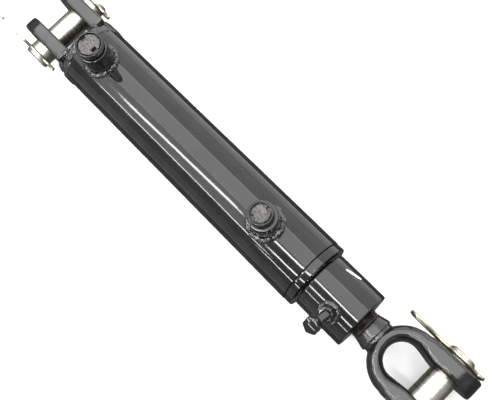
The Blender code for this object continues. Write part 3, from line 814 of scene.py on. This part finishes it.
def hexagon(start, end, flats, chamfer, segments=96):
    """Hexagonal prism about X with its corners turned off at both ends."""
    corner = flats / math.sqrt(3)

    def six(angle):
        return (flats / 2) / math.cos((angle + math.pi / 6) % (math.pi / 3) - math.pi / 6)
    bm = bmesh.new()
    rows = []
    stations = [(start, corner - chamfer * 1.9), (start + chamfer * 0.6, corner - chamfer * 0.5),
                (start + chamfer, corner), (end - chamfer, corner),
                (end - chamfer * 0.6, corner - chamfer * 0.5), (end, corner - chamfer * 1.9)]
    for x, limit in stations:
        row = []
        for i in range(segments):
            angle = TAU * i / segments
            out = min(six(angle), limit)
            row.append(bm.verts.new((x, out * math.sin(angle), out * math.cos(angle))))
        rows.append(row)
    skin(bm, zip(rows, rows[1:]))
    close_ends(bm, rows)
    return bm


def bolt_span(node):
    """Lowest and highest reach of a node along the lock bolt's axis."""
    inverse = BOLT.inverted()
    heights = [(inverse @ vert.co).z for vert in frame["nodes"][node].data.vertices]
    return min(heights), max(heights)


def make_lock_bolt():
    flats = 0.0130
    nut_low, nut_high = bolt_span("coupling_nut")
    nut = piece("nut", hexagon(nut_low, nut_high, flats, 0.0009), GLOSS, "rod", ["coupling_nut"],
                BOLT @ UPRIGHT)
    carve(nut, tool(bar(nut_low - 0.004, nut_high + 0.004, BOLT_HOLE_RADIUS, 40), BOLT @ UPRIGHT))
    path = []
    radius = flats / 2 + 0.0012
    for i in range(130):
        angle = TAU * i / 130
        out = radius + 0.0008 * noise.noise(Vector((math.cos(angle) * 2, math.sin(angle) * 2, 9.0)))
        y = out * math.sin(angle)
        path.append(Vector((out * math.cos(angle), y, math.sqrt(COUPLING_RADIUS ** 2 - y ** 2) + 0.0007)))
    bm = bead(path, 0.0024, 0.0042, 9.0, closed=True)
    piece("nut_bead", bm, WELD, "rod", ["coupling_nut_weld"], BOLT)
    low, high = bolt_span("lock_bolt")
    head = high - 0.0055
    bolt = piece("bolt", thread(low, head + 0.001, 0.0040, BOLT_PITCH, 0.0006, 48), GLOSS, "lock_bolt",
                 ["lock_bolt"], BOLT @ UPRIGHT)
    carve(bolt, tool(hexagon(head, high, flats, 0.0011), BOLT @ UPRIGHT), "UNION")
    low, high = bolt_span("lock_washer")
    split = math.radians(12)
    bm = bmesh.new()
    rows = []
    section = [(0.0043, low + 0.0003), (0.0069, low + 0.0003), (0.0069, high - 0.0003), (0.0043, high - 0.0003)]
    count = 60
    for i in range(count + 1):
        turn = split + (TAU - 2 * split) * i / count
        rise = 0.0004 * (i / count - 0.5)
        row = []
        for radius, height in section:
            row.append(bm.verts.new((radius * math.cos(turn), radius * math.sin(turn), height + rise)))
        rows.append(row)
    skin(bm, zip(rows, rows[1:]))
    close_ends(bm, rows)
    piece("washer", bm, GLOSS, "lock_washer", ["lock_washer"], BOLT)


# ---------------------------------------------------------------- yoke

def yoke_sections():
    """Sections of the U: middle, direction across, half thickness and half height of each.

    They go from one eye's tip round the crown to the other's, between an inner and an outer arc.
    """
    inner_x, inner_radius = SEAM + 0.1013, 0.0153
    outer_x, outer_radius = SEAM + 0.1045, 0.0303
    half_gap, face_start = 0.0133, ROD_PIN_X - 0.0140
    corner = 0.0022
    arm = []
    for i in range(27):
        from_eye = YOKE_EYE_RADIUS * math.cos(math.pi / 2 * i / 26) - 1e-5
        over = max(0.0, from_eye - (YOKE_EYE_RADIUS - corner)) / corner
        trim = corner * (1 - math.sqrt(max(0.0, 1 - over * over)))
        arm.append((ROD_PIN_X + from_eye, trim))
    arm += [(ROD_PIN_X - 0.0012 * i, 0.0) for i in range(1, 21)]
    sections = []
    for x, trim in arm:
        blend = min(1.0, max(0.0, (face_start - x) / (face_start - inner_x)))
        inner = half_gap + (inner_radius - half_gap) * blend
        outer = YOKE_HALF_WIDTH + 0.0006 * blend
        sections.append((Vector((x, (inner + outer) / 2, 0)), Vector((0, 1, 0)), (outer - inner) / 2 - trim))
    for i in range(1, 45):
        angle = math.pi / 2 + math.pi / 2 * i / 44
        near = Vector((inner_x + inner_radius * math.cos(angle), inner_radius * math.sin(angle), 0))
        far = Vector((outer_x + outer_radius * math.cos(angle), (outer_radius - 0.0005) * math.sin(angle), 0))
        sections.append(((near + far) / 2, (far - near).normalized(), (far - near).length / 2))
    mirrored = [(Vector((point.x, -point.y, 0)), Vector((across.x, -across.y, 0)), half)
                for point, across, half in reversed(sections[:-1])]
    result = []
    for point, across, half in sections + mirrored:
        from_eye = point.x - ROD_PIN_X
        if from_eye > -0.0104:
            height = math.sqrt(max(YOKE_EYE_RADIUS ** 2 - from_eye ** 2, 0.0))
        else:
            height = 0.0223 - 0.0068 * min(1.0, (-0.0104 - from_eye) / 0.0300)
        result.append((point, across, half, max(height, 0.0009)))
    return result


def yoke_mesh():
    """Forged U: a rounded section swept round the crown that flattens into two round eyes."""
    sides = 48
    bm = bmesh.new()
    rows = []
    for point, across, half, height in yoke_sections():
        from_eye = point.x - ROD_PIN_X
        squareness = 2.5 + 2.5 * min(1.0, max(0.0, (from_eye + 0.026) / 0.012))
        row = []
        for k in range(sides):
            angle = TAU * k / sides
            cosine, sine = math.cos(angle), math.sin(angle)
            u = math.copysign(abs(cosine) ** (2 / squareness), cosine)
            v = math.copysign(abs(sine) ** (2 / squareness), sine)
            row.append(bm.verts.new(point + across * (u * half) + Vector((0, 0, v * height))))
        rows.append(row)
    skin(bm, zip(rows, rows[1:]))
    close_ends(bm, rows)
    return bm


def make_yoke():
    made = piece("yoke", yoke_mesh(), FORGED, "yoke", ["rod_yoke"])
    root = lathe([(SHOULDER + 0.0050, 0), (SHOULDER + 0.0050, 0.0140), (SHOULDER + 0.0160, 0.0140),
                  (SHOULDER + 0.0160, 0)], 96, closed=False)
    carve(made, tool(root), "UNION")
    remesh = made.modifiers.new("blend", "REMESH")
    remesh.mode = "VOXEL"
    remesh.voxel_size = 0.0006
    smooth = made.modifiers.new("melt", "SMOOTH")
    smooth.factor = 0.6
    smooth.iterations = 10
    baked(made)
    flash(made)
    collar = soften([
        (SHOULDER - 0.0010, 0), (SHOULDER - 0.0010, 0.0132), (SHOULDER, 0.0136),
        (SHOULDER + 0.0080, 0.0157), (SHOULDER + 0.0094, 0.0152), (SHOULDER + 0.0100, 0),
    ], 0.0005, closed=False)
    carve(made, tool(lathe(refined(collar, 0.002), 128, closed=False)), "UNION")
    pin_place = BASE @ Matrix.Translation((ROD_PIN_X, 0, 0)) @ ACROSS
    carve(made, tool(bar(-0.040, 0.040, PIN_HOLE_RADIUS, 96), pin_place))
    made.data.materials.clear()
    made.data.materials.append(FORGED)
    shade(made, 40)
    stud = thread(STUD_START, SHOULDER - 0.0010, STUD_RADIUS, STUD_PITCH, 0.0010, 96)
    piece("stud", stud, THREAD, "yoke", [])


def flash(made):
    """Parting line of the forging: a low uneven ridge along the middle of the outside."""
    mesh = made.data
    for vert, normal in zip(mesh.vertices, [n.vector.copy() for n in mesh.vertex_normals]):
        height = (vert.co.z - ORIGIN.z) / 0.0011
        out = 0.00035 * math.exp(-height * height)
        grain = 0.00018 * noise.fractal(vert.co * 160, 1.0, 2.0, 3)
        room = min(1.0, max(0.0, (YOKE_TIP + ORIGIN.x - vert.co.x) / 0.002))
        side_room = min(1.0, max(0.0, (YOKE_HALF_WIDTH - abs(vert.co.y)) / 0.0008))
        vert.co += normal * (out * side_room + min(grain, 0.0)) * room


# ---------------------------------------------------------------- pins and clips

def make_pin(name, x):
    low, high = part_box(name)
    shift = (low.y + high.y) / 2
    end = (high.y - low.y) / 2
    profile = soften([
        (-end, 0), (-end, PIN_RADIUS - 0.0018), (0.0018 - end, PIN_RADIUS), (end - 0.0018, PIN_RADIUS),
        (end, PIN_RADIUS - 0.0018), (end, 0),
    ], 0.0006, closed=False)
    place = BASE @ Matrix.Translation((x, shift, 0))
    made = piece(f"{name}_bar", lathe(profile, 96, closed=False), PIN_ZINC, name, [name],
                 place @ ACROSS)
    for side in ("left", "right"):
        y = middle(f"{name}_clip_{side}").y - shift
        hole = place @ Matrix.Translation((0, y, 0))
        low, high = span(f"{name}_clip_{side}", 0)
        if low + high > 2 * x:
            hole = hole @ Matrix.Rotation(math.pi, 4, "Z")
        carve(made, tool(bar(-0.020, 0.020, 0.0020, 32), hole))
        clip = sweep(clip_path(), lambda i: 0.0016, 16)
        wire = piece(f"{name}_wire_{side}", clip, CLIP_ZINC, name, [f"{name}_clip_{side}"],
                     hole)
        shade(wire, 60)


def smooth_line(points, each=8):
    """Points along a Catmull-Rom curve through the given ones."""
    padded = [points[0] * 2 - points[1], *points, points[-1] * 2 - points[-2]]
    result = []
    for a, b, c, d in zip(padded, padded[1:], padded[2:], padded[3:]):
        for i in range(each):
            t = i / each
            result.append(0.5 * (2 * b + (c - a) * t + (2 * a - 5 * b + 4 * c - d) * t * t
                                 + (3 * b - a - 3 * c + d) * t ** 3))
    return [*result, points[-1]]


def clip_path():
    """R-clip in the XZ plane: straight leg, round loop, and the sprung leg over the pin."""
    loop, centre, tail, hump = 0.0065, -0.0440, 0.0215, PIN_RADIUS + 0.0021
    points = [(tail, 0), (0.012, 0), (0, 0), (-0.015, 0), (-0.030, 0)]
    points += [(centre + loop * math.cos(a), loop + loop * math.sin(a))
               for a in (math.radians(270 - 30 * i) for i in range(7))]
    points += [(-0.0350, 0.0108), (-0.0270, 0.0070), (-0.0200, 0.0052), (-0.0160, 0.0060)]
    points += [(hump * math.cos(a), hump * math.sin(a))
               for a in (math.radians(145 - 22 * i) for i in range(6))]
    points += [(0.0145, 0.0062), (0.0178, 0.0056), (tail, 0.0085)]
    return smooth_line([Vector((x, 0, z)) for x, z in points])


# ---------------------------------------------------------------- paint mark

def make_mark():
    """Plain dash of white paint on the coupling, laid on its round surface."""
    bm = bmesh.new()
    start, length, half, lift = COUPLING_START + 0.012, 0.014, 0.0013, 0.00012
    rows = []
    count = 24
    for i in range(count + 1):
        t = i / count
        x = start + length * t
        middle_angle = math.radians(46 + 10 * t)
        width = half * math.sqrt(max(0.05, 1 - (2 * t - 1) ** 4))
        row = []
        for out, side in ((-0.00015, -1), (lift, -1), (lift * 1.4, 0), (lift, 1), (-0.00015, 1)):
            radius = COUPLING_RADIUS + out
            angle = middle_angle + side * width / COUPLING_RADIUS
            row.append(bm.verts.new((x, radius * math.sin(angle), radius * math.cos(angle))))
        rows.append(row)
    skin(bm, zip(rows, rows[1:]))
    close_ends(bm, rows)
    piece("paint_dash", bm, PEN, "rod", [])


def dress_internals():
    """Better finishes on the CAD nodes that stay."""
    finishes = {
        STEEL: ("piston_nut",),
        IRON: ("piston",),
        RUBBER: ("gland_o_ring", "rod_seal", "piston_seal", "piston_o_ring"),
        NYLON: ("gland_backup_ring", "rod_guide_ring", "piston_wear_ring_rear", "piston_wear_ring_front"),
    }
    for finish, names in finishes.items():
        for name in names:
            mesh = frame["nodes"][name].data
            mesh.materials.clear()
            mesh.materials.append(finish)


# ---------------------------------------------------------------- stage

# name, start and end from the base pin's axis, width, radiance
LAMPS = (
    ("overhead_panel", (-1.3, 0.26, 1.00), (1.2, 0.26, 1.00), 0.88, 3.4),
    ("side_panel", (-1.6, 1.05, 0.62), (1.4, 1.05, 0.62), 1.10, 1.35),
    ("low_panel", (-1.6, 1.25, -0.27), (1.4, 1.25, -0.27), 0.78, 1.7),
    ("far_panel", (-1.6, -1.30, -0.35), (1.4, -1.30, -0.35), 0.90, 0.45),
    ("glow_panel", (-1.0, -0.55, 0.90), (0.02, -0.55, 0.90), 0.96, 1.9),
    ("streak_broad", (-0.46, -0.60, 0.90), (0.00, -0.40, 0.90), 0.10, 24),
    ("streak_narrow", (-0.72, -1.15, 0.72), (0.00, -1.15, 0.72), 0.05, 26),
    ("streak_end_top", (0.06, -0.25, 0.90), (0.60, -0.19, 0.90), 0.075, 26),
    ("streak_end_middle", (0.02, -0.84, 0.90), (0.60, -0.77, 0.90), 0.080, 26),
    ("streak_end_low", (0.02, -1.12, 0.50), (0.60, -1.12, 0.50), 0.040, 26),
)


def strip_light(name, start, end, width, radiance):
    """Long lamp between two points, aimed at the cylinder and as bright as radiance says."""
    start, end = Vector(start) + ORIGIN, Vector(end) + ORIGIN
    spot = (start + end) / 2
    along = (end - start).normalized()
    aim = Vector((ORIGIN.x + SEAM / 2, 0, ORIGIN.z)) - spot
    aim = (aim - along * aim.dot(along)).normalized()
    up = -along.cross(-aim)
    data = bpy.data.lights.new(name, "AREA")
    data.shape = "RECTANGLE"
    data.size, data.size_y = (end - start).length, width
    data.energy = radiance * math.pi * data.size * width
    lamp = bpy.data.objects.new(name, data)
    bpy.context.scene.collection.objects.link(lamp)
    turn = Matrix((along, up, -aim)).transposed().to_4x4()
    lamp.matrix_world = Matrix.Translation(spot) @ turn
    lamp.visible_camera = False


def make_stage():
    bm = bmesh.new()
    bmesh.ops.create_grid(bm, x_segments=1, y_segments=1, size=12.0)
    mesh = bpy.data.meshes.new("floor")
    bm.to_mesh(mesh)
    bm.free()
    floor = bpy.data.objects.new("floor", mesh)
    bpy.context.scene.collection.objects.link(floor)
    s = Shading("floor_paper")
    colour = s.mix(s.ramp(s.noise(3), 0.3, 0.7, 0, 1), (0.90, 0.90, 0.90), (0.92, 0.92, 0.92))
    mesh.materials.append(s.finish(colour, 0.9, specular=0.1))
    floor.location.z = -0.0002
    floor.visible_glossy = False
    for lamp in LAMPS:
        strip_light(*lamp)
    world = bpy.data.worlds.new("studio")
    world.use_nodes = True
    tree = world.node_tree
    way = tree.nodes.new("ShaderNodeTexCoord").outputs["Generated"]
    parts = tree.nodes.new("ShaderNodeSeparateXYZ")
    fade = tree.nodes.new("ShaderNodeMapRange")
    for name, value in (("From Min", -0.10), ("From Max", 0.15), ("To Min", 0.12), ("To Max", 0.42)):
        fade.inputs[name].default_value = value
    tree.links.new(way, parts.inputs["Vector"])
    tree.links.new(parts.outputs["Z"], fade.inputs["Value"])
    tree.links.new(fade.outputs["Result"], tree.nodes["Background"].inputs["Strength"])
    tree.nodes["Background"].inputs["Color"].default_value = (1, 1, 1, 1)
    bpy.context.scene.world = world
    bpy.context.scene.view_settings.view_transform = "Standard"


def make_camera():
    end = ORIGIN + Vector((SEAM, 0, 0))
    spot = end + Vector((0.0875, -0.0400, 0.5916))
    target = end + Vector((-0.0801, 0.0066, 0.0))
    roll = 0.805
    forward = (target - spot).normalized()
    right = forward.cross(Vector((-math.sin(roll), math.cos(roll), 0))).normalized()
    up = right.cross(forward)
    data = bpy.data.cameras.new("camera")
    data.sensor_width = 36
    data.lens = 51.84
    camera = bpy.data.objects.new("camera", data)
    bpy.context.scene.collection.objects.link(camera)
    camera.matrix_world = Matrix.Translation(spot) @ Matrix((right, up, -forward)).transposed().to_4x4()
    bpy.context.scene.camera = camera


make_camera()
make_stage()
make_barrel()
make_base_cap()
make_lugs()
make_port("base", ((math.radians(0), 0.0050), (math.radians(180), 0.0050)), 0.0, BASE_PLUG, 3.0)
make_port("rod", ((math.radians(70), 0.0030), (math.radians(250), 0.0030)), 0.0012, ROD_PLUG, 4.0)
make_gland()
make_rod()
make_coupling()
make_lock_bolt()
make_yoke()
make_pin("base_pin", 0.0)
make_pin("rod_pin", ROD_PIN_X)
make_mark()
dress_internals()
